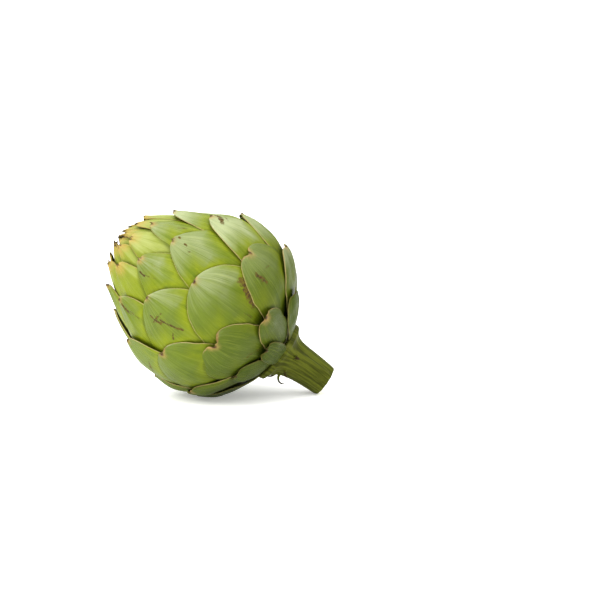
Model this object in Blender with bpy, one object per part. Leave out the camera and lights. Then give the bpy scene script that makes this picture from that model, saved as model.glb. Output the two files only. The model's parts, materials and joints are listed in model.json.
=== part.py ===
"""Globe artichoke, as picked, lying on its side on a flat surface.

The head's axis runs from the stem (+X, low) to the crown (-X, high). Every point of the head is
given in polar form about the head's centre: `alpha` is the angle from the stem end of the axis,
`turn` is the angle round the axis, and `radius` is the distance from the centre.
The bracts follow one spiral. Bract 1 is the lowest, at the stem, and each next one is turned by
the divergence angle, has its tip a little further up, and lies a little deeper at its base.
"""
import math

import bpy
import numpy as np

MM = 0.001

# Head, lengths in millimetres and angles in degrees
HEAD_LIFT = 36.0            # slope of the head's axis above the horizontal
SKIN_STEP = 30.0            # the skin's radius is given every so many degrees of alpha
SKIN_RADII = (47.5, 47.7, 49.4, 47.5, 46.0, 50.0, 57.0)
FLAT_DEPTH = 1.2            # how far the head is pressed flat where it lies on the surface
PRESSED_WALL = 0.5          # wall that is left where a bract is pressed flat

# Bract spiral
BRACT_COUNT = 56
DIVERGENCE = 137.65
FIRST_TURN = 9.0 - 21 * DIVERGENCE
TIP_ALPHAS = ((-3, 38.0), (1, 46.5), (9, 63.0), (16, 87.6), (22, 111.7), (28, 134.0),
              (35, 150.4), (42, 163.0), (56, 177.5), (60, 179.6))
STRAYS = {3: (0.0, 9.0), 6: (0.0, -4.0), 9: (0.0, -2.0), 14: (-4.0, -2.0), 17: (4.0, 0.0),
          23: (1.0, 0.0), 24: (3.0, 0.0), 25: (5.0, 0.0), 28: (4.0, 0.0),
          30: (2.0, 0.0)}   # how far a bract strays from the spiral: (turn, tip rise)

# Layers: depth under the skin, by how many bracts end between here and the bract's own tip
LAYER_RISE = 0.35
LAYER_GROWTH = 0.0035

# Bract outline and wall
LOWEST_WIDTH = 19.0         # half-width of the small bracts at the stem
FULL_WIDTH = 31.0           # half-width of a full-grown bract
FULL_WIDTH_FROM = 12        # the first full-grown bract
SWELL_ALPHA = 42.0          # the width swells over this angle below the tip
TIP_WIDTH = 5.0             # half-width of the blunt tip
CLAW_SHARE = 0.72           # width of the base, as a share of the full width
LOBE_RISE = 1.4             # the two lobes of the tip stand past its notch by this angle
SPINE_RISE = 1.7            # the small spine in the notch, past the notch
BRACTS_APART = 5            # a bract's middle lies on the one this many further up the spiral
WALL_CLEARANCE = 0.74       # what the wall leaves free of the room between those two
EDGE_SHARE = 0.24           # wall at the side edges, as a share of the wall down the middle
BASE_SLANT = 4.5            # the inner face starts this angle above the outer face
ROW_PLACES = (0.0, 0.19, 0.39, 0.59, 0.77, 0.91, 1.0)
WIDE_COLUMNS = 7
NARROW_COLUMNS = 5
NARROW_FROM = 40            # the small crown bracts need fewer columns

# Heart, choke, inner bud and stem
LOWEST_BASE_ALPHA = 14.5
HIGHEST_BASE_ALPHA = 58.0
HEART_GAP_ALPHA = 1.6
HEART_FLOOR = 45.6          # distance of the heart's flat underside from the centre
HEART_FLOOR_RADIUS = 9.2
DISH_DEPTH = 4.0            # the heart's upper face is dished
CHOKE_HEIGHT = 9.0
PART_GAP = 0.4              # clearance between the solids of revolution
BUD_LAYER = 59.0            # the inner bud fills the head from this layer inwards
TURNED_SIDES = 24
STEM_RADIUS = 9.5
STEM_END_RADIUS = 8.7
STEM_LENGTH = 27.2
STEM_RISE = 1.5             # how far the stem's end has bent up from the axis
STEM_FLARE = 0.9
STEM_BEVEL = 0.8
STEM_RINGS = 9
STEM_SIDES = 20

# Colours (red, green, blue) and roughness
OUTER_GREEN = (0.21, 0.30, 0.08)
CROWN_GREEN = (0.42, 0.42, 0.12)
STEM_GREEN = (0.17, 0.22, 0.07)
HEART_CREAM = (0.72, 0.70, 0.36)
CHOKE_CREAM = (0.78, 0.73, 0.52)
BUD_YELLOW = (0.66, 0.62, 0.22)
ROUGHNESS = 0.6


def clear_scene():
    for item in list(bpy.data.objects):
        bpy.data.objects.remove(item, do_unlink=True)


def skin_radius(alpha):
    """Cosine series through SKIN_RADII, so the skin is smooth at both ends of the axis."""
    orders = np.arange(len(SKIN_RADII))
    knots = np.radians(SKIN_STEP * orders)
    weights = np.linalg.solve(np.cos(np.outer(knots, orders)), SKIN_RADII)
    return np.cos(np.multiply.outer(np.radians(alpha), orders)) @ weights


def even_tip_alpha(number):
    numbers, alphas = zip(*TIP_ALPHAS)
    return np.interp(number, numbers, alphas)


def tip_alpha(number):
    return even_tip_alpha(number) + STRAYS.get(number, (0.0, 0.0))[1]


def bract_turn(number):
    return FIRST_TURN + DIVERGENCE * number - DIVERGENCE + STRAYS.get(number, (0.0, 0.0))[0]


def layer_here(alpha):
    """The number of the bract whose tip ends at this alpha, as a fraction."""
    numbers, alphas = zip(*TIP_ALPHAS)
    return np.interp(alpha, alphas, numbers)


def layer_radius(number, alpha):
    """Straight growth with depth under the skin, and a square term that makes room further in."""
    depth = np.maximum(number - layer_here(alpha), 0.0)
    return skin_radius(alpha) - LAYER_RISE * depth - LAYER_GROWTH * depth ** 2


def base_alpha(number):
    return np.interp(number, (1, BUD_LAYER), (LOWEST_BASE_ALPHA, HIGHEST_BASE_ALPHA))


def full_width(number):
    return np.interp(number, (1, FULL_WIDTH_FROM), (LOWEST_WIDTH, FULL_WIDTH))


def half_width(number, alpha):
    """Blunt at the tip, an elliptic swell below it, and a claw at the base."""
    drop = np.clip((tip_alpha(number) - alpha) / SWELL_ALPHA, 0.0, 1.0)
    swell = np.sqrt(1.0 - (1.0 - drop) ** 2)
    length = tip_alpha(number) - base_alpha(number)
    height = (alpha - base_alpha(number)) / length
    claw = CLAW_SHARE + (1.0 - CLAW_SHARE) * np.clip(2.0 * height, 0.0, 1.0)
    return TIP_WIDTH + (full_width(number) * claw - TIP_WIDTH) * swell


def wall(number, alpha, side):
    """The room down to the bract that lies below the middle, less a clearance, thin at the edges."""
    below = min(number + BRACTS_APART, BUD_LAYER)
    middle = layer_radius(number, alpha) - layer_radius(below, alpha) - WALL_CLEARANCE
    return middle * (EDGE_SHARE + (1.0 - EDGE_SHARE) * (1.0 - side ** 2) ** 2)


def head_axes():
    lift = math.radians(HEAD_LIFT)
    to_crown = np.array((-math.cos(lift), 0.0, math.sin(lift)))
    to_front = np.array((0.0, -1.0, 0.0))
    to_top = np.array((math.sin(lift), 0.0, math.cos(lift)))
    return to_crown, to_front, to_top


def polar_point(alpha, turn, radius):
    """Millimetres from the head's centre, in world directions."""
    to_crown, to_front, to_top = head_axes()
    alpha = np.radians(alpha)[..., None]
    turn = np.radians(turn)[..., None]
    outward = np.cos(turn) * to_front + np.sin(turn) * to_top
    return radius[..., None] * (np.sin(alpha) * outward - np.cos(alpha) * to_crown)


def bract_faces(rows, columns):
    """Outer and inner sheet of quads, each split in two, and the rim that joins them."""
    def sheet_index(row, column, inner):
        return (rows * columns if inner else 0) + row * columns + column

    faces = []
    for row in range(rows - 1):
        for column in range(columns - 1):
            corners = ((row, column), (row, column + 1), (row + 1, column + 1), (row + 1, column))
            outer = [sheet_index(r, c, False) for r, c in corners]
            inner = [sheet_index(r, c, True) for r, c in reversed(corners)]
            faces += [outer[:3], [outer[0], outer[2], outer[3]]]
            faces += [inner[:3], [inner[0], inner[2], inner[3]]]
    bottom = [(0, column) for column in range(columns)]
    right = [(row, columns - 1) for row in range(1, rows)]
    top = [(rows - 1, column) for column in reversed(range(columns - 1))]
    left = [(row, 0) for row in reversed(range(1, rows - 1))]
    rim = bottom + right + top + left
    for here, there in zip(rim, rim[1:] + rim[:1]):
        a, b = sheet_index(*here, False), sheet_index(*there, False)
        c, d = sheet_index(*there, True), sheet_index(*here, True)
        faces += [[a, d, c], [a, c, b]]
    return faces


def bract_points(number):
    columns = NARROW_COLUMNS if number >= NARROW_FROM else WIDE_COLUMNS
    height, side = np.meshgrid(ROW_PLACES, np.linspace(-1.0, 1.0, columns), indexing="ij")
    tip, base = tip_alpha(number), base_alpha(number)
    lobes = LOBE_RISE * np.sin(np.pi * np.abs(side)) + SPINE_RISE * (np.abs(side) < 0.1)
    alpha = base + (tip - base) * height + lobes * (height > 0.99)
    turn = bract_turn(number) + side * half_width(number, base + (tip - base) * height)
    outer = layer_radius(number, alpha)
    alpha_inside = alpha + BASE_SLANT * (1.0 - height) ** 4
    inner = layer_radius(number, alpha_inside) - wall(number, alpha_inside, side)
    points = np.stack((polar_point(alpha, turn, outer), polar_point(alpha_inside, turn, inner)))
    return points.reshape(-1, 3), bract_faces(len(ROW_PLACES), columns)


def revolve(profile):
    """Solid of revolution about the head's axis from (along axis, off axis) pairs, crown last."""
    to_crown, to_front, to_top = head_axes()
    points = [profile[0][0] * to_crown]
    for along, off in profile[1:-1]:
        for side in range(TURNED_SIDES):
            angle = 2.0 * math.pi * side / TURNED_SIDES
            outward = math.cos(angle) * to_front + math.sin(angle) * to_top
            points.append(along * to_crown + off * outward)
    points.append(profile[-1][0] * to_crown)
    rings = len(profile) - 2
    last = len(points) - 1
    faces = []
    for side in range(TURNED_SIDES):
        after = (side + 1) % TURNED_SIDES
        faces.append([0, 1 + after, 1 + side])
        for ring in range(rings - 1):
            low, high = 1 + ring * TURNED_SIDES, 1 + (ring + 1) * TURNED_SIDES
            faces += [[low + side, low + after, high + after], [low + side, high + after, high + side]]
        top = 1 + (rings - 1) * TURNED_SIDES
        faces.append([top + side, top + after, last])
    return np.array(points), faces


def axial(alpha, radius):
    return -radius * math.cos(math.radians(alpha)), radius * math.sin(math.radians(alpha))


def heart_flank():
    """The line that the bract bases stand on, from the outside in."""
    numbers = np.linspace(1.0, BUD_LAYER, 7)
    return [axial(base_alpha(n) - HEART_GAP_ALPHA, layer_radius(n, base_alpha(n)) - 0.2) for n in numbers]


def heart_points():
    flank = heart_flank()
    rim_along, rim_off = flank[-1]
    dish = [(rim_along - DISH_DEPTH * (1.0 - share ** 2), rim_off * share) for share in (0.75, 0.4)]
    underside = [(-HEART_FLOOR, 0.0), (-HEART_FLOOR, HEART_FLOOR_RADIUS)]
    return revolve(underside + flank + dish + [(rim_along - DISH_DEPTH, 0.0)])


def choke_points():
    rim_along, rim_off = heart_flank()[-1]
    off = rim_off - 3.0 * PART_GAP
    low = [(rim_along - DISH_DEPTH * (1.0 - share ** 2) + PART_GAP, off * share)
           for share in (0.0, 0.4, 0.75)]
    high = [(rim_along + CHOKE_HEIGHT * math.cos(0.5 * math.pi * share ** 2), off * share)
            for share in (1.0, 0.85, 0.6, 0.3, 0.0)]
    high[0] = (rim_along + PART_GAP, off)
    return revolve(low + high)


def bud_points():
    rim_along, rim_off = heart_flank()[-1]
    off = rim_off - 3.0 * PART_GAP
    low = [(rim_along + CHOKE_HEIGHT * math.cos(0.5 * math.pi * share ** 2) + 3.0 * PART_GAP, off * share)
           for share in (0.0, 0.3, 0.6, 0.85)]
    alphas = np.linspace(HIGHEST_BASE_ALPHA + 8.0, 180.0, 11)
    high = [axial(alpha, layer_radius(BUD_LAYER, alpha) - 0.35) for alpha in alphas]
    return revolve(low + high)


def stem_centre(share):
    """A parabola: it leaves the head along the axis and bends up towards the cut end."""
    to_crown, _, to_top = head_axes()
    along = HEART_FLOOR + PART_GAP + STEM_LENGTH * share
    return -along * to_crown + STEM_RISE * share ** 2 * to_top


def stem_points():
    _, to_front, _ = head_axes()
    points, rings = [stem_centre(0.0)], []
    for share in np.linspace(0.0, 1.0, STEM_RINGS):
        ahead = stem_centre(share + 0.01) - stem_centre(share - 0.01)
        ahead /= np.linalg.norm(ahead)
        across = np.cross(to_front, ahead)
        radius = STEM_RADIUS + (STEM_END_RADIUS - STEM_RADIUS) * share
        radius += STEM_FLARE * (1.0 - share) ** 6
        rings.append((stem_centre(share), across, radius))
    end, across, radius = rings[-1]
    rings[-1] = (end - STEM_BEVEL * ahead, across, radius)
    rings.append((end, across, radius - STEM_BEVEL))
    for centre, across, radius in rings:
        for side in range(STEM_SIDES):
            angle = 2.0 * math.pi * side / STEM_SIDES
            points.append(centre + radius * (math.cos(angle) * to_front + math.sin(angle) * across))
    points.append(end)
    last, faces = len(points) - 1, []
    for side in range(STEM_SIDES):
        after = (side + 1) % STEM_SIDES
        faces.append([0, 1 + side, 1 + after])
        for ring in range(len(rings) - 1):
            low, high = 1 + ring * STEM_SIDES, 1 + (ring + 1) * STEM_SIDES
            faces += [[low + side, high + side, high + after], [low + side, high + after, low + after]]
        top = 1 + (len(rings) - 1) * STEM_SIDES
        faces.append([top + side, last, top + after])
    return np.array(points), faces


def make_material(name, colour, roughness):
    material = bpy.data.materials.new(name)
    material.use_nodes = True
    shader = material.node_tree.nodes["Principled BSDF"]
    shader.inputs["Base Color"].default_value = (*colour, 1.0)
    shader.inputs["Roughness"].default_value = roughness
    shader.inputs["Metallic"].default_value = 0.0
    return material


def make_object(name, points, faces, colour, roughness):
    mesh = bpy.data.meshes.new(name)
    mesh.from_pydata((points * MM).tolist(), [], faces)
    mesh.validate()
    mesh.shade_smooth()
    mesh.set_sharp_from_angle(angle=math.radians(40.0))
    mesh.materials.append(make_material(name, colour, roughness))
    item = bpy.data.objects.new(name, mesh)
    bpy.context.collection.objects.link(item)
    return item


def bract_colour(number):
    share = min(1.0, max(0.0, (number - 30) / 20))
    return tuple(a + (b - a) * share for a, b in zip(OUTER_GREEN, CROWN_GREEN))


def settle(pieces):
    """Lay the pieces on z = 0, centred in x and y, with whatever would go lower pressed flat."""
    every = np.concatenate([points for points, _ in pieces.values()])
    head = np.concatenate([points for name, (points, _) in pieces.items() if name.startswith("bract")])
    floor = head[:, 2].min() + FLAT_DEPTH
    middle = 0.5 * (every.min(axis=0) + every.max(axis=0))
    for name, (points, _) in pieces.items():
        points -= np.array((middle[0], middle[1], floor))
        lowest = np.zeros(len(points))
        if name.startswith("bract"):
            lowest[len(points) // 2:] = PRESSED_WALL
        points[:, 2] = np.maximum(points[:, 2], lowest)


def main():
    clear_scene()
    pieces = {"stem": stem_points(), "heart": heart_points()}
    pieces |= {"choke": choke_points(), "inner_bud": bud_points()}
    for number in range(1, BRACT_COUNT + 1):
        pieces[f"bract_{number:02d}"] = bract_points(number)
    settle(pieces)
    colours = {"stem": STEM_GREEN, "heart": HEART_CREAM, "choke": CHOKE_CREAM, "inner_bud": BUD_YELLOW}
    for name, (points, faces) in pieces.items():
        colour = colours.get(name) or bract_colour(int(name[-2:]))
        make_object(name, points, faces, colour, ROUGHNESS)


main()
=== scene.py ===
import json
import math
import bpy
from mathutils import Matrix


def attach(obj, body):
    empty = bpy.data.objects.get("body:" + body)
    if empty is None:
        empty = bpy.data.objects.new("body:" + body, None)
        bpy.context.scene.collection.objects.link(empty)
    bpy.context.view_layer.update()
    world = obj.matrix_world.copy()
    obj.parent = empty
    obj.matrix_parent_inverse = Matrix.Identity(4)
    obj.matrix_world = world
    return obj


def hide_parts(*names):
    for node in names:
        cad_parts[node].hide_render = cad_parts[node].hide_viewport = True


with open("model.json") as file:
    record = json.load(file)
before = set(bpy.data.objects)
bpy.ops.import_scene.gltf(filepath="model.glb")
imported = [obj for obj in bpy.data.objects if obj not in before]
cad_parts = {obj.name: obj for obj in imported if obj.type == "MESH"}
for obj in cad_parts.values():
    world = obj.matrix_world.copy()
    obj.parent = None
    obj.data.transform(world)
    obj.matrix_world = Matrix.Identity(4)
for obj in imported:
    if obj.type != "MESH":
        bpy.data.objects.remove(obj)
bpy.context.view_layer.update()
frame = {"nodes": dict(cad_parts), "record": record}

from types import SimpleNamespace

import bpy
import numpy as np
from mathutils import Vector

# The head in polar form. alpha: degrees up from the stem end of the axis. turn: degrees round the
# axis. radius: millimetres from the centre. Lengths below are millimetres, and angles are degrees.
head = {
    "heartFloor": 45.6,      # from the centre down to the heart's flat underside
    "skinStep": 30.0,        # the skin's radius is given every so many degrees of alpha
    "skinRadii": (47.5, 47.7, 49.4, 47.5, 46.0, 50.0, 57.0),
    "layerRise": 0.35,       # how much deeper each next bract lies
    "layerGrowth": 0.0035,
    "layerBlur": 10.0,       # evens out where the tips stray from the spiral
    "turnStep": 137.65,      # from one bract to the next
    "bractCount": 56,        # the bracts that have a node of their own
    "meanRadius": 47.0,      # turns an angle on the skin into millimetres
}


def nodePoints(name):
    mesh = frame["nodes"][name].data
    points = np.empty(3 * len(mesh.vertices), np.float32)
    mesh.vertices.foreach_get("co", points)
    return np.unique(points.reshape(-1, 3).round(6), axis=0).astype(float) * 1000.0


def headFrame():
    # heart and inner bud are turned about the head's axis, so their rings' means lie on it
    heart = nodePoints("heart")
    low, high = heart.mean(axis=0), nodePoints("inner_bud").mean(axis=0)
    toCrown = (high - low) / np.linalg.norm(high - low)
    toTop = np.cross(toCrown, (0.0, -1.0, 0.0))
    toTop /= np.linalg.norm(toTop)
    toFront = np.cross(toTop, toCrown)
    floor = ((heart - low) @ toCrown).min()
    return low + toCrown * (floor + head["heartFloor"]), toCrown, toFront, toTop


centre, toCrown, toFront, toTop = headFrame()


def fromPolar(alpha, turn, radius):
    # centre + radius * (sin alpha * outward - cos alpha * to the crown), outward by the turn
    alpha, turn, radius = (np.asarray(value, float)[..., None] for value in (alpha, turn, radius))
    alpha, turn = np.radians(alpha), np.radians(turn)
    outward = np.cos(turn) * toFront + np.sin(turn) * toTop
    return centre + radius * (np.sin(alpha) * outward - np.cos(alpha) * toCrown)


def toPolar(points):
    offset = points - centre
    radius = np.linalg.norm(offset, axis=1)
    alpha = np.degrees(np.arccos(-(offset @ toCrown) / radius))
    return alpha, np.degrees(np.arctan2(offset @ toTop, offset @ toFront)), radius


def wrapTurn(turn):
    return (turn + 180.0) % 360.0 - 180.0


def smooth(value, low, high):
    # 0 below low, 1 above high, and 3t2 - 2t3 in between
    share = np.clip((value - low) / (high - low), 0.0, 1.0)
    return share * share * (3.0 - 2.0 * share)


# What every bract shares. Widths are half-widths in degrees of turn, except those of the notch, the
# spine and the keel, which are shares of the half-width. A name that ends in Over gives the first
# and the last bract of a gradual change.
bract = {
    "seed": 100,
    "grids": {"marked": (121, 129), "plain": (61, 65), "small": (45, 41)},    # rows and columns
    "smallFrom": 40,
    "lowestWidth": 19.0,
    "fullWidth": 31.0,
    "fullWidthFrom": 12,
    "swell": 42.0,           # the outline swells to full width over this angle below the tip
    "tipWidth": 5.0,
    "crownTipWidth": 13.0,
    "crownTipOver": (36, 54),
    "point": 0.59,           # 0.5 swells from the tip like an ellipse, 1 runs out to a sharp point
    "blunter": 0.08,         # taken off the point's value towards the crown
    "blunterOver": (36, 46),
    "claw": 0.72,            # width of the base, as a share of the full width
    "rootReach": 10.0,       # how much further down than its node each of the lowest bracts starts
    "rootLoss": 0.7,         # the share of that reach which the upper bracts lack
    "rootLossOver": (8, 20),
    "spineRise": 1.7,        # what the CAD tip stands past its notch
    "notch": 1.7,            # depth of the notch in the tip
    "notchWidth": 0.38,
    "notchOver": (9, 13),    # the notch appears over these bracts
    "notchLossOver": (42, 50),
    "fall": 1.0,             # how far the tip's edge falls towards its ends
    "tipWave": 0.15,
    "spine": 0.9,            # the small spine in the notch, and the longer one of the crown
    "crownSpine": 1.3,
    "crownSpineOver": (33, 42),
    "spineWidth": 0.10,
    "marginWave": 0.018,
    "bend": 5.0,             # how far the middle line strays to one side, at most
    "poleGap": 0.6,          # tips stay about this far from the head's axis
    "wall": 0.6,
    "baseWall": 1.6,
    "restWall": 0.42,        # what is left of the wall where the head rests
    "closing": (50, 90, 60),     # how suddenly the wall closes at the margins, tip and base
    "faceFrom": (0.35, 0.75),    # the face takes its own shape between these shares of the height
    "belly": 0.7,            # how far the middle of the exposed face stands out
    "fold": 1.1,             # how far both halves fall away from the middle line
    "edgeHug": 0.5,          # how far the side margins press in, at most
    "tipHug": 0.6,
    "lift": 0.4,             # how far a tip stands out again, at most
    "foldLoss": 0.75,        # what the crown's bracts lack of the fold and the lift
    "liftLoss": 0.6,
    "crownHug": 1.8,         # and how many times more their tips press in
    "crownOver": (34, 48),
    "keel": 0.28,
    "keelWidth": 0.10,
    "sway": 0.26,            # slow unevenness of the face
    "ribs": 0.022,           # fine ridges that run from base to tip
    "ribTurns": 34.0,
    "spineLift": 0.5,
    "spineFoot": 0.12,       # width of the swelling under the spine
    "farOut": 60.0,          # a face is never counted as exposed by more millimetres than this
    "innerCount": 22,        # bracts of the inner bud, past those with a node of their own
    "innerTip": 0.13,        # each of their tips and bases ends this much further up
    "innerBase": 0.30,
}

# The bracts that grew in a way of their own. lift, margin: millimetres that the tip and one side
# margin stand out, and the margin's sign tells its side. notch, tipWidth, turned, longer: degrees.
# lean: where across the tip its notch lies. point: as above. narrow, and the share of the bloom: the width
# and the bloom with its painted highlight, as shares of the usual ones; that share above 1 paints light on a
# whole bract, below 1 painted shade.
habits = {
    3: {"lift": 0.0},
    4: {"lift": 0.6},
    6: {"lift": 0.0},
    7: {"lift": 0.5},
    9: {"lift": 1.0, "turned": -3.0, "longer": 3.0, "narrow": 0.74},
    11: {"lift": 0.0},
    12: {"lift": 1.7, "margin": -1.2, "wax": 1.9},
    14: {"notch": 4.0, "tipWidth": 8.0, "lean": 0.2, "point": 0.52, "wax": 0.6},
    16: {"lift": 0.1},
    17: {"lift": 0.5, "margin": -0.5, "notch": 3.0, "tipWidth": 7.0, "lean": -0.1, "narrow": 0.93,
         "wax": 0.35},
    20: {"lift": 1.5, "margin": -1.0},
    22: {"lift": 0.3},
    24: {"lift": 0.8, "margin": 1.2},
    25: {"lift": 0.8, "margin": -1.4, "turned": 3.0, "wax": 1.2},
    29: {"lift": 1.3, "margin": 0.8},
    30: {"wax": 0.7},
    33: {"lift": 0.6, "wax": 1.4},
    37: {"lift": 0.2},
}


def readBracts():
    # tip, base and middle turn of each bract node, with its habits
    found = {}
    for number in range(1, head["bractCount"] + 1):
        alpha, turn, _ = toPolar(nodePoints(f"bract_{number:02d}"))
        habit = habits.get(number, {})
        middle = turn[np.argmax(alpha)]      # the tip's spine
        spread = wrapTurn(turn - middle)
        reach = bract["rootReach"] * (1.0 - bract["rootLoss"] * smooth(number, *bract["rootLossOver"]))
        found[number] = {
            "turn": middle + 0.5 * (spread.max() + spread.min()) + habit.get("turned", 0.0),
            "tip": alpha.max() - bract["spineRise"] + habit.get("longer", 0.0),
            "base": alpha.min() - reach,
        }
    return found


bracts = readBracts()
nodeCount = len(bracts)


def addInnerBracts():
    # the spiral goes on inside the last bract that has a node
    last = bracts[nodeCount]
    for extra in range(1, bract["innerCount"] + 1):
        bracts[nodeCount + extra] = {
            "turn": wrapTurn(last["turn"] + extra * head["turnStep"]),
            "tip": last["tip"] + bract["innerTip"] * extra,
            "base": last["base"] + bract["innerBase"] * extra,
        }


def layerTable():
    # number of the bract whose tip ends at each alpha, blurred by a raised cosine
    tips = np.sort([bracts[n]["tip"] for n in bracts])
    step, blur = 0.5, head["layerBlur"]
    alpha = np.arange(0.0, 180.0 + step, step)
    number = np.interp(alpha, tips, np.arange(1, len(tips) + 1))
    window = np.hanning(int(2 * blur / step) + 1)
    padded = np.pad(number, len(window) // 2, mode="edge")
    return alpha, np.convolve(padded, window / window.sum(), mode="valid")


tableAlpha, tableLayer = layerTable()
addInnerBracts()


def skinRadius(alpha):
    # cosine series through skinRadii
    orders = np.arange(len(head["skinRadii"]))
    knots = np.radians(head["skinStep"] * orders)
    weights = np.linalg.solve(np.cos(np.outer(knots, orders)), head["skinRadii"])
    return np.cos(np.multiply.outer(np.radians(alpha), orders)) @ weights


def layerRadius(number, alpha):
    depth = np.maximum(number - np.interp(alpha, tableAlpha, tableLayer), 0.0)
    return skinRadius(alpha) - head["layerRise"] * depth - head["layerGrowth"] * depth ** 2


def halfWidth(number, alpha):
    # a narrow tip, a swell below it, and a claw at the base
    habit = habits.get(number, {})
    full = np.interp(number, (1, bract["fullWidthFrom"]), (bract["lowestWidth"], bract["fullWidth"]))
    full *= habit.get("narrow", 1.0)
    tip, base = bracts[number]["tip"], bracts[number]["base"]
    drop = np.clip((tip - alpha) / bract["swell"], 0.0, 1.0)
    height = np.clip((alpha - base) / (tip - base), 0.0, 1.0)
    claw = bract["claw"] + (1.0 - bract["claw"]) * np.clip(2.0 * height, 0.0, 1.0)
    point = habit.get("point", bract["point"] - bract["blunter"] * smooth(number, *bract["blunterOver"]))
    swell = (1.0 - (1.0 - drop) ** 2) ** point
    usual = np.interp(number, bract["crownTipOver"], (bract["tipWidth"], bract["crownTipWidth"]))
    end = habit.get("tipWidth", usual)
    return end + (full * claw - end) * swell


def exposedBy(number, alpha, turn):
    # millimetres out from under the bracts that cover this one, negative where it is covered
    gap = np.full(alpha.shape, bract["farOut"])
    arc = np.radians(1.0) * head["meanRadius"]
    for other in range(1, number):
        beside = np.abs(wrapTurn(turn - bracts[other]["turn"])) - halfWidth(other, alpha)
        above = alpha - bracts[other]["tip"]
        gap = np.minimum(gap, arc * np.maximum(beside * np.sin(np.radians(alpha)), above))
    return gap


def waves(value, count, draw):
    # a few sines of growing frequency with drawn sizes and phases, within about -1 to 1
    total = np.zeros_like(value)
    for order in range(1, count + 1):
        size, phase = draw.uniform(0.4, 1.0) / order, draw.uniform(0.0, 2.0 * math.pi)
        total += size * np.sin(order * math.pi * value + phase)
    return total


# Scars and scabs: across and height of both ends, half-width in millimetres and strength
marks = {
    14: [(0.05, 0.62, 0.55, 0.40, 1.6, 0.5), (-0.3, 0.33, 0.3, 0.28, 1.4, 0.6)],
    17: [(-0.50, 0.85, -0.38, 0.75, 1.5, 0.75), (-0.20, 0.83, 0.1, 0.80, 0.5, 0.6)],
    22: [(0.62, 0.72, 0.47, 0.64, 2.4, 0.75), (0.49, 0.66, 0.31, 0.53, 2.6, 0.75),
         (0.05, 0.56, 0.08, 0.49, 0.5, 0.6)],
    24: [(0.30, 0.80, -0.05, 0.72, 0.8, 0.6), (-0.2, 0.9, -0.3, 0.8, 0.5, 0.5)],
    25: [(0.35, 0.965, -0.30, 0.915, 1.6, 0.8), (-0.1, 0.88, 0.1, 0.90, 0.8, 0.6)],
    27: [(-0.40, 0.91, -0.21, 0.82, 0.55, 0.9), (-0.43, 0.865, 0.02, 0.862, 0.45, 0.9),
         (-0.15, 0.837, 0.06, 0.688, 0.5, 1.0), (-0.15, 0.728, -0.27, 0.70, 0.45, 0.9),
         (-0.30, 0.86, -0.24, 0.84, 1.0, 0.7)],
    30: [(-0.03, 0.918, -0.06, 0.905, 0.6, 1.0), (-0.25, 0.877, -0.22, 0.87, 0.55, 0.9),
         (0.38, 0.972, 0.3, 0.965, 0.5, 0.8)],
    32: [(0.03, 0.965, 0.22, 0.895, 0.9, 0.8), (0.3, 0.9, 0.45, 0.84, 0.5, 0.7)],
    35: [(-0.67, 0.955, -0.54, 0.922, 0.5, 1.0), (-0.5, 0.93, -0.2, 0.86, 0.35, 0.6)],
    38: [(-0.05, 0.87, 0.05, 0.83, 0.6, 0.6)],
}


def markField(number, u, v, width, length):
    # 1 on a mark's line, falling to 0 over its half-width, the strongest of them at each point
    field = np.zeros_like(u)
    for u0, v0, u1, v1, size, strength in marks.get(number, ()):
        x, y = (u - u0) * width, (v - v0) * length
        dx, dy = (u1 - u0) * width, (v1 - v0) * length
        share = np.clip((x * dx + y * dy) / (dx * dx + dy * dy + 0.001), 0.0, 1.0)
        away = np.hypot(x - share * dx, y - share * dy)
        field = np.maximum(field, strength * np.exp(-(away / size) ** 2))
    return field


def bractOutline(number, habit, u, v, draw):
    # alpha and turn over the grid: the tip's edge falls to both ends, with a notch and a spine in it
    tip, base = bracts[number]["tip"], bracts[number]["base"]
    side = np.abs(u - habit.get("lean", draw.uniform(-0.2, 0.2)))
    notch = habit.get("notch", bract["notch"] * draw.uniform(0.5, 1.3))
    notch *= smooth(number, *bract["notchOver"]) * (1.0 - smooth(number, *bract["notchLossOver"]))
    spine = np.interp(number, bract["crownSpineOver"], (bract["spine"], bract["crownSpine"]))
    spine *= draw.uniform(0.8, 1.2)
    top = notch * (1.0 - np.exp(-(side / bract["notchWidth"]) ** 2)) - bract["fall"] * side ** 1.5
    top += spine * np.exp(-(side / bract["spineWidth"]) ** 2) + bract["tipWave"] * waves(u, 4, draw)
    plain = base + (tip - base) * v
    width = halfWidth(number, plain) * (1.0 + bract["marginWave"] * waves(6.0 * v, 3, draw) * np.abs(u))
    bend = draw.uniform(-bract["bend"], bract["bend"]) * (v - 0.7) ** 2
    turn = bracts[number]["turn"] + u * width + bend
    alpha = np.minimum(plain + top * v ** 8, 180.0)
    return 180.0 - np.hypot(180.0 - alpha, bract["poleGap"]), turn, width


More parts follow.
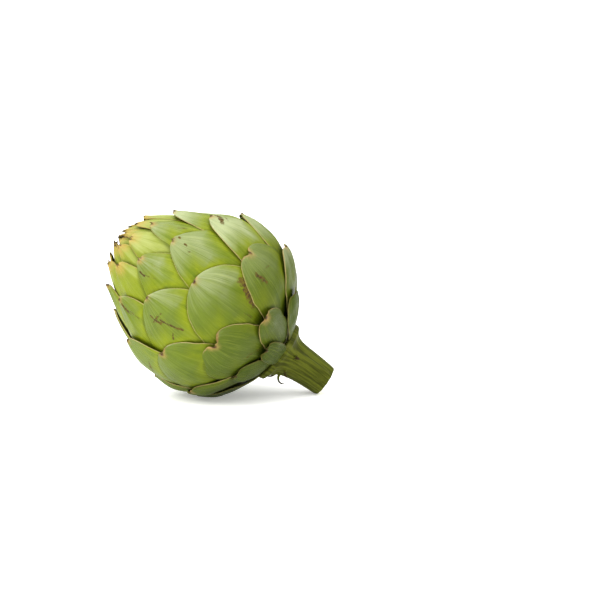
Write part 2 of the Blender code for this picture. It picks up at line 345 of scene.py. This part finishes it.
def bractRelief(number, habit, u, v, draw):
    # how far the face stands out from its layer, in millimetres
    side, near = np.abs(u), smooth(v, *bract["faceFrom"])
    crown = smooth(number, *bract["crownOver"])
    hug = np.where(u < 0, draw.uniform(0.4, 1.0), draw.uniform(0.4, 1.0))
    relief = bract["belly"] * (1.0 - u ** 2) * near * (1.0 - smooth(v, 0.8, 1.0))
    relief -= bract["edgeHug"] * hug * side ** 4 * near
    relief -= bract["fold"] * (1.0 - bract["foldLoss"] * crown) * side ** 1.5 * near
    relief -= bract["tipHug"] * (1.0 + bract["crownHug"] * crown) * smooth(v, 0.80, 1.0)
    relief += bract["keel"] * np.exp(-(u / bract["keelWidth"]) ** 2) * smooth(v, 0.7, 0.97)
    relief += bract["sway"] * waves(1.3 * u + 0.7 * v, 3, draw) * near
    relief += bract["sway"] * waves(2.4 * v - 0.5 * u, 3, draw) * near
    ridges = np.sin(bract["ribTurns"] * u + 2.0 * waves(2.0 * v, 2, draw))
    relief += bract["ribs"] * ridges * near * (1.0 - side ** 6)
    usual = draw.uniform(0.0, bract["lift"]) * (1.0 - bract["liftLoss"] * crown)
    relief += habit.get("lift", usual) * smooth(v, 0.70, 1.0) ** 1.5
    margin = habit.get("margin", 0.0)
    relief += abs(margin) * smooth(u * np.sign(margin), 0.35, 1.0) * near * (1.0 - 0.4 * v)
    relief += bract["spineLift"] * np.exp(-(u / bract["spineFoot"]) ** 2) * smooth(v, 0.965, 1.0)
    return relief


def bractWalls(u, v, alpha, turn, radius):
    # two sheets a wall apart, which meet all round, and are flat where the head rests
    side, (margins, tip, base) = np.abs(u), bract["closing"]
    closing = np.sqrt(np.clip(1.0 - side ** margins, 0.0, 1.0) * np.clip(1.0 - v ** tip, 0.0, 1.0))
    closing *= np.sqrt(np.clip(1.0 - (1.0 - v) ** base, 0.0, 1.0))
    thicker = (bract["baseWall"] - bract["wall"]) * (1.0 - smooth(v, 0.2, 0.8)) * (1.0 - side ** 2)
    wall = bract["wall"] + thicker
    outer = fromPolar(alpha, turn, radius - wall * 0.5 * (1.0 - closing))
    inner = fromPolar(alpha, turn, radius - wall * 0.5 * (1.0 + closing))
    outer[..., 2] = np.maximum(outer[..., 2], 0.0)
    inner[..., 2] = np.maximum(inner[..., 2], bract["restWall"])
    return outer, inner


def skyward(outer):
    # the height of each vertex's unit normal
    across, up = np.gradient(outer, axis=1), np.gradient(outer, axis=0)
    normal = np.cross(across, up)
    normal *= np.sign((normal * (outer - centre)).sum(axis=-1, keepdims=True))
    return normal[..., 2] / np.maximum(np.linalg.norm(normal, axis=-1), 1e-6)


def bractSheets(number):
    # outer and inner sheet over across (u, -1 to 1) and height (v, 0 to 1), closer near the margins
    draw = np.random.default_rng(bract["seed"] + number)
    size = "marked" if number in marks else "small" if number >= bract["smallFrom"] else "plain"
    rows, columns = bract["grids"][size]
    v, u = np.meshgrid(np.sin(0.5 * np.pi * np.linspace(0, 1, rows)),
                       np.sin(0.5 * np.pi * np.linspace(-1, 1, columns)), indexing="ij")
    habit = habits.get(number, {})
    alpha, turn, width = bractOutline(number, habit, u, v, draw)
    radius = layerRadius(number, alpha) + bractRelief(number, habit, u, v, draw)
    outer, inner = bractWalls(u, v, alpha, turn, radius)

    arc = np.radians(1.0) * radius
    reach = width * np.sin(np.radians(alpha)) * arc      # half-width and length in millimetres
    length = (bracts[number]["tip"] - bracts[number]["base"]) * arc
    toTip = (1.0 - v) * length
    fields = {
        "across": u, "along": v, "rim": np.minimum((1.0 - np.abs(u)) * reach, toTip),
        "toNotch": np.hypot(u * reach, toTip), "exposed": exposedBy(number, alpha, turn),
        "tone": np.full_like(u, draw.uniform(0.0, 1.0)), "upHead": alpha,
        "mark": markField(number, u, v, reach, length), "sky": skyward(outer),
        "wax": np.full_like(u, habit.get("wax", draw.uniform(0.8, 1.1))),
    }
    return outer, inner, fields


def closedSheet(outer, inner, fields):
    # the two sheets share the vertices of their rim
    rows, columns = outer.shape[:2]
    above = np.arange(rows * columns).reshape(rows, columns)
    under = above.copy()
    under[1:-1, 1:-1] = rows * columns + np.arange((rows - 2) * (columns - 2)).reshape(rows - 2, columns - 2)

    def quads(index):
        corners = (index[:-1, :-1], index[:-1, 1:], index[1:, 1:], index[1:, :-1])
        return np.stack(corners, axis=-1).reshape(-1, 4)

    points = np.concatenate((outer.reshape(-1, 3), inner[1:-1, 1:-1].reshape(-1, 3)))
    fields = {name: np.concatenate((field.ravel(), field[1:-1, 1:-1].ravel()))
              for name, field in fields.items()}
    fields["under"] = (np.arange(len(points)) >= rows * columns).astype(float)
    return points, np.concatenate((quads(above), quads(under)[:, ::-1])), fields


def makePiece(name, points, faces, fields, material):
    # faces is a list of index arrays, one array for each number of corners
    mesh = bpy.data.meshes.new(name)
    corners = np.concatenate([block.ravel() for block in faces])
    sizes = np.concatenate([np.full(len(block), block.shape[1]) for block in faces])
    mesh.vertices.add(len(points))
    mesh.vertices.foreach_set("co", (points / 1000.0).astype(np.float32).ravel())
    mesh.loops.add(len(corners))
    mesh.loops.foreach_set("vertex_index", corners.astype(np.int32))
    mesh.polygons.add(len(sizes))
    mesh.polygons.foreach_set("loop_start", (np.cumsum(sizes) - sizes).astype(np.int32))
    mesh.polygons.foreach_set("use_smooth", np.ones(len(sizes), bool))
    mesh.update(calc_edges=True)
    mesh.validate()
    for field, values in fields.items():
        mesh.attributes.new(field, "FLOAT", "POINT").data.foreach_set("value", values.astype(np.float32))
    mesh.materials.append(material)
    piece = bpy.data.objects.new(name, mesh)
    bpy.context.scene.collection.objects.link(piece)
    return piece


class Sock:
    # a socket whose + - * add Math nodes, from either side
    def __init__(self, kit, socket):
        self.kit, self.socket = kit, socket

    def __add__(self, other):
        return self.kit.math("ADD", self, other)

    def __sub__(self, other):
        return self.kit.math("SUBTRACT", self, other)

    def __rsub__(self, other):
        return self.kit.math("SUBTRACT", other, self)

    def __mul__(self, other):
        return self.kit.math("MULTIPLY", self, other)

    __radd__, __rmul__ = __add__, __mul__


class Kit:
    # adds nodes to one tree
    def __init__(self, tree):
        self.tree = tree

    def add(self, kind, settings, sockets, output=0):
        node = self.tree.nodes.new(kind)
        for key, value in settings.items():
            setattr(node, key, value)
        for key, value in sockets.items():
            self.plug(node.inputs[key], value)
        return Sock(self, node.outputs[output])

    def plug(self, target, value):
        if isinstance(value, Sock):
            self.tree.links.new(value.socket, target)
        else:
            target.default_value = value

    def math(self, operation, first, second=0.0):
        return self.add("ShaderNodeMath", {"operation": operation}, {0: first, 1: second})

    def step(self, value, low, high):
        # 0 to 1 as the value goes from low to high, eased at both ends
        sockets = {"Value": value, "From Min": low, "From Max": high}
        return self.add("ShaderNodeMapRange", {"interpolation_type": "SMOOTHSTEP"}, sockets)


class Skin(Kit):
    # a material while its nodes are being added
    def __init__(self, name, **fixed):
        self.material = bpy.data.materials.new(name)
        self.material.use_nodes = True
        super().__init__(self.material.node_tree)
        self.shader = self.tree.nodes["Principled BSDF"]
        self.finish(**fixed)

    def field(self, name):
        return self.add("ShaderNodeAttribute", {"attribute_name": name}, {}, "Fac")

    def place(self):
        return self.add("ShaderNodeTexCoord", {}, {}, "Object")

    def vector(self, x, y, z):
        return self.add("ShaderNodeCombineXYZ", {}, {0: x, 1: y, 2: z})

    def noise(self, vector, scale, detail=2.0, roughness=0.5):
        sockets = {"Vector": vector, "Scale": scale, "Detail": detail, "Roughness": roughness}
        return self.add("ShaderNodeTexNoise", {}, sockets, 0)

    def mix(self, share, first, second):
        settings = {"data_type": "RGBA", "clamp_factor": True}
        first, second = (c if isinstance(c, Sock) else (*c, 1.0) for c in (first, second))
        return self.add("ShaderNodeMix", settings, {0: share, 6: first, 7: second}, 2)

    def bump(self, height, distance, strength):
        return self.add("ShaderNodeBump", {}, {"Height": height, "Distance": distance, "Strength": strength})

    def finish(self, **sockets):
        # an underscore here stands for a space in the socket's name
        for socket, value in sockets.items():
            self.plug(self.shader.inputs[socket.replace("_", " ")], value)
        return self.material


bractLooks = {
    "green": (0.098, 0.142, 0.003),
    "fresh": (0.175, 0.212, 0.002),      # just out from under the next bract
    # pale wax bloom, which also paints the highlight on faces turned up and high on the head
    "bloomAndHighlight": (0.310, 0.345, 0.180),
    "paintedShadeAndDarkGreen": (0.032, 0.050, 0.001),      # dark green between fibres and low on the head, also painted shade low on the head and in the creases
    "vein": (0.220, 0.255, 0.030),
    "rim": (0.360, 0.270, 0.110),
    "rimBrown": (0.210, 0.105, 0.038),   # the margin near the tip
    "tan": (0.400, 0.235, 0.085),
    "brown": (0.055, 0.028, 0.010),
    "scab": (0.105, 0.070, 0.010),
    "inside": (0.170, 0.195, 0.030),
    "fibreCount": 34.0,      # across half a bract, as for the bands and the scratches
    "bandCount": 5.0,
    "scratchCount": 55.0,
    "mottleScale": 130.0,    # per metre, as for the flecks, the specks and the grit of a scar
    "fleckScale": 900.0,
    "speckScale": 520.0,
    "gritScale": 480.0,
    "bloomAndHighlightShare": 0.95,
    "bloomAndHighlightFrom": 10.0,       # millimetres out from the next bract's edge where the bloom and its painted highlight start
    "bloomAndHighlightTo": 28.0,
    "shadeShare": 0.9,
    "rimShare": 0.75,
    "tipReach": 5.5,         # millimetres that the tan of the tip runs down
}
crownLooks = {**bractLooks, "green": (0.155, 0.195, 0.004), "bloomAndHighlight": (0.310, 0.340, 0.110),
              "tan": (0.380, 0.245, 0.060), "rim": (0.380, 0.270, 0.075), "tipReach": 8.0,
              "bloomAndHighlightShare": 0.9, "bloomAndHighlightFrom": 4.0, "bloomAndHighlightTo": 17.0}
# the lowest bracts: little bloom and faint margins, partly painted shade low on the head
basalLooks = {**bractLooks, "bloomAndHighlightShare": 0.2, "rimShare": 0.3, "tipReach": 2.2}


def bractGrain(skin, looks):
    # the fields and noises that a bract's colours share
    names = ("across", "along", "tone", "exposed", "rim", "toNotch", "upHead", "sky", "wax", "mark", "under")
    grain = SimpleNamespace(place=skin.place(), **{name: skin.field(name) for name in names})

    def lengthways(across, along, tone, detail, roughness):
        # noise drawn out from base to tip, and different on each bract
        spread = skin.vector(grain.across * across, grain.along * along, grain.tone * tone)
        return skin.noise(spread, 1.0, detail, roughness)

    grain.fibres = lengthways(looks["fibreCount"], 3.0, 40.0, 3.0, 0.65)
    grain.bands = lengthways(looks["bandCount"], 2.0, 60.0, 2.0, 0.5)
    grain.scratches = lengthways(looks["scratchCount"], 6.0, 90.0, 3.0, 0.7)
    grain.mottle = skin.noise(grain.place, looks["mottleScale"], 4.0, 0.6)
    grain.flecks = skin.noise(grain.place, looks["fleckScale"], 2.0, 0.6)
    return grain


def bloomAndHighlightOver(skin, looks, grain):
    # the pale bloom, partly real wax and partly painted highlight: stronger on faces turned up and higher on
    # the head, well out from under the next bract, thinner between fibres
    height = skin.add("ShaderNodeSeparateXYZ", {}, {0: grain.place}, "Z")
    sky = grain.sky + grain.bands * 0.3 + grain.mottle * 0.3 + height * 2.0
    out = grain.exposed + grain.bands * 9.0 + grain.mottle * 8.0
    bloomAndHighlight = skin.step(out, looks["bloomAndHighlightFrom"], looks["bloomAndHighlightTo"]) * looks["bloomAndHighlightShare"]
    # each bract's own share: partly more or less wax, partly painted light and painted shade on the whole
    # bract
    bloomAndHighlight = bloomAndHighlight * (0.10 + skin.step(sky, 0.30, 1.10) * 0.90) * grain.wax
    return bloomAndHighlight * (0.6 + 0.4 * skin.step(grain.fibres, 0.3, 0.65))


def bractGreen(skin, looks, grain, bloomAndHighlight):
    # mottled green, fresher near the next bract, then the bloom with its painted highlight, darker low on the
    # head (deeper green and painted shade), painted shade in the creases, and fibres over it
    darker = [0.8 * c for c in looks["green"]]
    colour = skin.mix(skin.step(grain.mottle + grain.tone * 0.2, 0.4, 0.8), looks["green"], darker)
    fresh = 1.0 - skin.step(grain.exposed + grain.bands * 6.0, 3.0, 16.0)
    fresh = fresh * skin.step(grain.mottle + grain.bands, 0.65, 1.1)
    colour = skin.mix(fresh, colour, looks["fresh"])
    colour = skin.mix(bloomAndHighlight, colour, looks["bloomAndHighlight"])
    # darker low on the head: partly deeper green, partly painted shade where the underside is turned from the
    # light
    low = 1.0 - skin.step(grain.upHead + grain.bands * 14.0, 45.0, 110.0)
    colour = skin.mix(low * looks["shadeShare"], colour, looks["paintedShadeAndDarkGreen"])
    # painted shade in the crease just below the edge of the bract that covers this one
    colour = skin.mix((1.0 - skin.step(grain.exposed, 0.0, 2.5)) * 0.55, colour, looks["paintedShadeAndDarkGreen"])
    colour = skin.mix(skin.step(grain.fibres, 0.50, 0.68) * 0.28, colour, looks["vein"])
    return skin.mix((1.0 - skin.step(grain.fibres, 0.30, 0.42)) * 0.25, colour, looks["paintedShadeAndDarkGreen"])


def bractWear(skin, looks, grain, colour):
    # dry margin, scratches, tan tip, specks and the brown spine
    edge = grain.rim + grain.flecks * 0.7 + grain.bands * 0.5
    margin = (1.0 - skin.step(edge, 0.55, 1.15)) * looks["rimShare"]
    brown = 1.0 - skin.step(grain.toNotch + grain.bands * 12.0, 10.0, 20.0)
    brown = brown * skin.step(grain.mottle + grain.flecks * 0.3, 0.45, 0.75)
    colour = skin.mix(margin, colour, skin.mix(brown, looks["rim"], looks["rimBrown"]))
    scratched = skin.step(grain.scratches, 0.66, 0.76) * skin.step(grain.mottle, 0.48, 0.62)
    colour = skin.mix(scratched * 0.55, colour, looks["scab"])
    reach = looks["tipReach"]
    tip = (1.0 - skin.step(grain.toNotch + grain.mottle * 6.0, 0.35 * reach, 1.35 * reach)) * 0.8
    colour = skin.mix(tip, colour, looks["tan"])
    specks = skin.noise(grain.place, looks["speckScale"], 3.0, 0.7)
    specks = skin.step(specks, 0.70, 0.76) * skin.step(grain.mottle, 0.5, 0.65)
    colour = skin.mix(specks * 0.6, colour, looks["scab"])
    return skin.mix(1.0 - skin.step(grain.toNotch + grain.flecks, 0.9, 2.3), colour, looks["brown"])


def bractScars(skin, looks, grain, colour):
    # a scab with ragged edges over each mark, and its darker middle
    grit = skin.noise(grain.place, looks["gritScale"], 5.0, 0.75) - 0.5
    patch = skin.step(grain.mark + grit * 2.6, 0.45, 0.70)
    colour = skin.mix(patch * 0.9, colour, looks["scab"])
    grit = skin.noise(grain.place, looks["fleckScale"], 4.0, 0.75) - 0.5
    dark = skin.step(grain.mark + grit * 3.0, 0.62, 0.85)
    return skin.mix(dark * 0.9, colour, looks["brown"]), patch


def bractSkin(name, looks):
    skin = Skin(name, Specular_IOR_Level=0.12)
    grain = bractGrain(skin, looks)
    bloomAndHighlight = bloomAndHighlightOver(skin, looks, grain)
    colour = bractWear(skin, looks, grain, bractGreen(skin, looks, grain, bloomAndHighlight))
    colour, patch = bractScars(skin, looks, grain, colour)
    colour = skin.mix(grain.under * 0.85, colour, looks["inside"])
    relief = grain.fibres * 0.6 + grain.mottle * 0.5 + grain.flecks * 0.12 - patch * 0.35
    rough = 0.44 + bloomAndHighlight * 0.15 + grain.mottle * 0.12 + patch * 0.2
    return skin.finish(Base_Color=colour, Roughness=rough, Normal=skin.bump(relief, 0.0005, 0.9))


print("materials")
outerSkin = bractSkin("outerBractSkin", bractLooks)
crownSkin = bractSkin("crownBractSkin", crownLooks)
basalSkin = bractSkin("basalBractSkin", basalLooks)

print("bracts")
slots = {entry["node"]: entry["material_slot"] for entry in frame["record"]["subparts"]}
skins = {"outer_bract": outerSkin, "crown_bract": crownSkin, "basal_bract": basalSkin}
for number in range(1, nodeCount + 1):
    node = f"bract_{number:02d}"
    points, faces, fields = closedSheet(*bractSheets(number))
    piece = makePiece(f"leaf_{number:02d}", points, [faces], fields, skins[slots[node]])
    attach(piece, "root")
    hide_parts(node)


def innerBud():
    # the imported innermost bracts, as one piece
    points, faces, fields, start = [], [], [], 0
    for number in range(nodeCount + 1, nodeCount + bract["innerCount"] + 1):
        some, quads, values = closedSheet(*bractSheets(number))
        points.append(some)
        faces.append(quads + start)
        fields.append(values)
        start += len(some)
    joined = {name: np.concatenate([values[name] for values in fields]) for name in fields[0]}
    return np.concatenate(points), [np.concatenate(faces)], joined


print("inner bud")
points, faces, fields = innerBud()
bud = makePiece("inner_leaves", points, faces, fields, crownSkin)
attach(bud, "root")
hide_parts("inner_bud")

stem = {
    "sides": 120,
    "rings": 60,             # along its side, and then over the cut face
    "faceRings": 24,
    "core": 3.0,             # the node's points nearer the head's axis than this aren't fitted
    "ribs": 11,
    "ribDepth": 0.35,
    "flare": 6.2,            # the stem widens into the head by this much
    "flareReach": 3.0,
    "inside": 2.5,           # how far it reaches into the head
    "shorter": 0.6,          # the side stops this far before the node's end
    "bulge": 0.8,            # the cut face stands out from there
    "dish": 0.6,             # and dries hollow in the middle
}


def stemOffsets():
    # the stem node's points as distances down the head's axis, to its front and to its top
    offset = nodePoints("stem") - centre
    return -(offset @ toCrown), offset @ toFront, offset @ toTop


def closedTube(rings, ends, turned=False):
    # quads between neighbouring rings, and a fan from each end's middle; turned where the rings
    # run the other way round their path, so that the faces still point outwards
    rows, sides = rings.shape[:2]
    grid = np.arange(rows * sides).reshape(rows, sides)
    after = np.roll(grid, -1, axis=1)
    quads = np.stack((grid[:-1], after[:-1], after[1:], grid[1:]), axis=-1).reshape(-1, 4)
    first = np.full(sides, rows * sides)
    fans = np.concatenate((np.stack((first, after[0], grid[0]), axis=-1),
                           np.stack((first + 1, grid[-1], after[-1]), axis=-1)))
    if turned:
        quads, fans = quads[:, [0, 3, 2, 1]], fans[:, [0, 2, 1]]
    return np.concatenate((rings.reshape(-1, 3), ends)), [quads, fans]


def stemRings():
    # a ring's radius is taper plus ribs plus flare, times a share that is 1 along the side and
    # falls to 0, as a cosine, over the cut face
    along, side, up = stemOffsets()
    ring = np.hypot(side, up) > stem["core"]
    line = np.polyfit(along[ring], up[ring], 2)      # the stem's curve is a parabola
    taper = np.polyfit(along[ring], np.hypot(side, up - np.polyval(line, along))[ring], 1)
    start, end = along.min() - stem["inside"], along.max() - stem["shorter"]
    place = np.concatenate((np.linspace(start, end, stem["rings"]), np.full(stem["faceRings"], end)))
    face = np.cos(np.linspace(0.0, 0.5 * np.pi, stem["faceRings"] + 1))[1:]
    share = np.concatenate((np.ones(stem["rings"]), face))
    angle = np.linspace(0.0, 2.0 * np.pi, stem["sides"], endpoint=False)
    rib = stem["ribDepth"] * np.cos(stem["ribs"] * angle + 0.8 * np.sin(3.0 * angle))
    rib *= 0.6 + 0.4 * np.sin(2.0 * angle + 1.0)
    flare = stem["flare"] * np.exp(-((place - along.min()).clip(0.0) / stem["flareReach"]))
    radius = np.polyval(taper, place)[:, None] + rib * share[:, None] ** 2 + flare[:, None]
    radius *= share[:, None]
    out = stem["bulge"] * (1.0 - share ** 6) - stem["dish"] * (1.0 - share ** 2)
    middles = centre - (place + out)[:, None] * toCrown + np.polyval(line, place)[:, None] * toTop
    spokes = np.cos(angle)[:, None] * toFront + np.sin(angle)[:, None] * toTop
    return middles, middles[:, None, :] + radius[:, :, None] * spokes, place - along.min(), share, angle


def stemSurface():
    # the last ring has no size: its middle closes the cut face
    middles, rings, lengthways, share, angle = stemRings()
    rings, lengthways, share = rings[:-1], lengthways[:-1], share[:-1]
    rings[..., 2] = rings[..., 2].clip(0.0)      # the cut end just rests on the floor
    cut = (np.arange(len(rings)) > stem["rings"]).astype(float)
    points, faces = closedTube(rings, middles[[0, -1]], turned=True)
    fields = {name: np.repeat(values, stem["sides"]) for name, values in
              (("lengthways", lengthways), ("faceShare", share), ("cut", cut))}
    fields["round"] = np.tile(angle, len(rings))
    return points, faces, {name: np.concatenate((values, values[[0, -1]])) for name, values in fields.items()}


def stemSkin():
    # ribs of dark and light green along the side, and moist pith with a green rim on the cut
    skin = Skin("stemSkin", Specular_IOR_Level=0.10)
    place = skin.place()
    angle, lengthways, share, cut = (skin.field(name) for name in ("round", "lengthways", "faceShare", "cut"))
    circle = [skin.math(operation, angle) * 9.0 for operation in ("COSINE", "SINE")]
    ribs = skin.noise(skin.vector(*circle, lengthways * 0.06), 1.0, 3.0, 0.6)
    mottle = skin.noise(place, 160.0, 4.0, 0.6)
    colour = skin.mix(skin.step(ribs, 0.35, 0.65), (0.036, 0.042, 0.001), (0.095, 0.110, 0.008))
    colour = skin.mix(skin.step(mottle, 0.55, 0.75) * 0.5, colour, (0.13, 0.13, 0.03))
    pith = skin.mix(skin.step(share, 0.55, 0.92), (0.62, 0.60, 0.40), (0.33, 0.36, 0.13))
    pith = skin.mix(skin.step(skin.noise(place, 700.0, 3.0), 0.5, 0.7) * 0.5, pith, (0.30, 0.22, 0.11))
    colour = skin.mix(cut, colour, pith)
    relief = skin.bump(ribs * 0.8 + mottle * 0.5, 0.0006, 0.8)
    return skin.finish(Base_Color=colour, Roughness=0.55 + mottle * 0.15, Normal=relief)


print("stem")
points, faces, fields = stemSurface()
stalk = makePiece("stalk", points, faces, fields, stemSkin())
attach(stalk, "root")
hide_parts("stem")

# Withered stubs of the lowest bracts: distance down the stem, turn, length, thickness and curl
stubs = {
    "rings": 33,
    "sides": 20,
    "near": 6.0,             # the stem's width is read within this distance
    "sunk": 0.8,             # how deep the foot stands in the stem
    "flat": 0.55,            # across and along its section, as shares of the thickness
    "wide": 1.4,
    "taper": 0.6,
    "lump": 0.12,
    "each": [(5.6, -70.0, 7.5, 1.1, 2.6), (6.2, -40.0, 5.0, 0.9, 1.3), (4.6, -96.0, 5.5, 1.1, -1.2),
             (6.0, 12.0, 4.2, 0.9, 1.0), (5.6, 150.0, 5.4, 1.0, 1.6), (6.2, 205.0, 4.6, 0.9, -1.4)],
}


def stubSurface(down, turn, length, thick, curl):
    # a tapering tube that leaves the stem's side and curls over
    along, side, up = stemOffsets()
    line = np.polyfit(along, up, 2)
    place = along.min() + down
    radius = np.hypot(side, up - np.polyval(line, along))[np.abs(along - place) < stubs["near"]].max()
    outward = math.cos(math.radians(turn)) * toFront + math.sin(math.radians(turn)) * toTop
    foot = centre - place * toCrown + np.polyval(line, place) * toTop + (radius - stubs["sunk"]) * outward
    share = np.linspace(0.0, 1.0, stubs["rings"])
    bend = curl * share ** 1.5
    step = length / (stubs["rings"] - 1) * (np.cos(bend)[:, None] * outward - np.sin(bend)[:, None] * toCrown)
    path = foot + np.cumsum(step, axis=0)
    across = np.cross(outward, toCrown)
    normal = np.cross(step / np.linalg.norm(step, axis=1)[:, None], across)
    angle = np.linspace(0.0, 2.0 * np.pi, stubs["sides"], endpoint=False)
    size = thick * np.sqrt(1.0 - share ** 6) * (1.0 - stubs["taper"] * share)
    size += stubs["lump"] * np.sin(9.0 * share) * (1.0 - share)
    section = stubs["flat"] * np.sin(angle)[None, :, None] * normal[:, None, :]
    section = section + stubs["wide"] * np.cos(angle)[None, :, None] * across
    rings = (path[:, None, :] + size[:, None, None] * section)[1:-1]
    points, faces = closedTube(rings, path[[0, -1]])
    lengthways = np.concatenate((np.repeat(share[1:-1], stubs["sides"]), (0.0, 1.0)))
    return points, faces, {"lengthways": lengthways}


def stubSkin():
    # green at the foot, withered brown towards the end
    skin = Skin("stubSkin", Specular_IOR_Level=0.15)
    mottle = skin.noise(skin.place(), 500.0, 4.0, 0.65)
    dry = skin.step(skin.field("lengthways") + mottle, 0.5, 1.1)
    colour = skin.mix(dry, (0.16, 0.19, 0.02), (0.045, 0.030, 0.010))
    relief = skin.bump(mottle, 0.0004, 0.8)
    return skin.finish(Base_Color=colour, Roughness=0.6 + mottle * 0.2, Normal=relief)


print("stubs")
stubMaterial = stubSkin()
for index, sizes in enumerate(stubs["each"]):
    points, faces, fields = stubSurface(*sizes)
    stub = makePiece(f"stub_{index}", points, faces, fields, stubMaterial)
    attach(stub, "root")


def fleshSkin():
    # the heart's moist cream flesh
    skin = Skin("heartFlesh", Specular_IOR_Level=0.4)
    mottle = skin.noise(skin.place(), 180.0, 4.0, 0.6)
    colour = skin.mix(skin.step(mottle, 0.35, 0.65), (0.66, 0.62, 0.34), (0.72, 0.70, 0.47))
    relief = skin.bump(mottle, 0.0004, 0.6)
    return skin.finish(Base_Color=colour, Roughness=0.35 + mottle * 0.2, Normal=relief)


def hairSkin():
    # fine upright hairs, in threads along the head's axis
    skin = Skin("chokeHairs", Specular_IOR_Level=0.3)
    place = skin.place()
    stretch = {0: place, 1: (300.0, 1800.0, 1500.0)}
    spread = skin.add("ShaderNodeVectorMath", {"operation": "MULTIPLY"}, stretch)
    threads = skin.noise(spread, 1.0, 3.0, 0.6)
    colour = skin.mix(skin.step(threads, 0.4, 0.65), (0.45, 0.38, 0.20), (0.75, 0.70, 0.50))
    relief = skin.bump(threads, 0.0006, 0.9)
    return skin.finish(Base_Color=colour, Roughness=0.6 + threads * 0.2, Normal=relief)


print("heart and choke")
for node, skin in (("heart", fleshSkin()), ("choke", hairSkin())):
    frame["nodes"][node].data.materials.clear()
    frame["nodes"][node].data.materials.append(skin)

studio = {
    "floorSize": 8.0,
    "floorDrop": 0.0002,     # keeps the floor off the faces that rest on it
    "horizon": 1.1,          # the world's brightness at the horizon
    "leftWall": 0.58,
    "rightWall": 0.15,
    "ceiling": 1.85,
    "sunPower": 3.2,
    "sunSpread": 60.0,
    "sunFrom": (-0.66, -0.12, 0.90),
    "distance": 1.0,         # from the camera to the head's centre, in metres
    "turnedBy": 4.73,
    "raisedBy": 8.0,
    "aimRight": 0.0469,
    "lens": 118.8,
}


def makeFloor():
    half = 0.5 * studio["floorSize"]
    mesh = bpy.data.meshes.new("floor")
    low = -studio["floorDrop"]
    corners = [(-half, -half, low), (half, -half, low), (half, half, low), (-half, half, low)]
    mesh.from_pydata(corners, [], [(0, 1, 2, 3)])
    skin = Skin("paleFloor", Base_Color=(0.92, 0.92, 0.91, 1.0), Roughness=0.7, Specular_IOR_Level=0.1,
                Emission_Color=(1.0, 1.0, 1.0, 1.0), Emission_Strength=0.3)
    mesh.materials.append(skin.material)
    floor = bpy.data.objects.new("floor", mesh)
    bpy.context.scene.collection.objects.link(floor)


def makeLights():
    world = bpy.data.worlds.new("studio")
    bpy.context.scene.world = world
    world.use_nodes = True
    kit = Kit(world.node_tree)
    direction = kit.add("ShaderNodeTexCoord", {}, {}, "Generated")
    across = kit.add("ShaderNodeSeparateXYZ", {}, {0: direction}, "X")
    rise = kit.add("ShaderNodeSeparateXYZ", {}, {0: direction}, "Z")
    walls = studio["leftWall"] + kit.step(across, -0.5, 0.5) * (studio["rightWall"] - studio["leftWall"])
    light = walls + kit.step(rise, 0.20, 0.80) * studio["ceiling"]
    light = light + (1.0 - kit.step(rise, 0.02, 0.06)) * studio["horizon"]
    background = world.node_tree.nodes["Background"]
    kit.plug(background.inputs["Strength"], light)
    background.inputs["Color"].default_value = (1.0, 1.0, 1.0, 1.0)
    lamp = bpy.data.lights.new("sun", "SUN")
    lamp.energy, lamp.angle = studio["sunPower"], math.radians(studio["sunSpread"])
    sun = bpy.data.objects.new("sun", lamp)
    sun.rotation_euler = Vector(studio["sunFrom"]).to_track_quat("Z", "Y").to_euler()
    bpy.context.scene.collection.objects.link(sun)


def makeCamera():
    turned, raised = math.radians(studio["turnedBy"]), math.radians(studio["raisedBy"])
    middle = Vector(centre / 1000.0)
    level = math.cos(raised)
    back = Vector((-math.sin(turned) * level, -math.cos(turned) * level, math.sin(raised)))
    right = Vector((math.cos(turned), -math.sin(turned), 0.0))
    data = bpy.data.cameras.new("camera")
    data.lens, data.sensor_width = studio["lens"], 36.0
    camera = bpy.data.objects.new("camera", data)
    camera.location = middle + back * studio["distance"]
    aim = middle + right * studio["aimRight"]
    camera.rotation_euler = (aim - camera.location).to_track_quat("-Z", "Y").to_euler()
    bpy.context.scene.collection.objects.link(camera)
    bpy.context.scene.camera = camera


print("studio")
makeFloor()
makeLights()
makeCamera()
bpy.context.scene.view_settings.view_transform = "Standard"
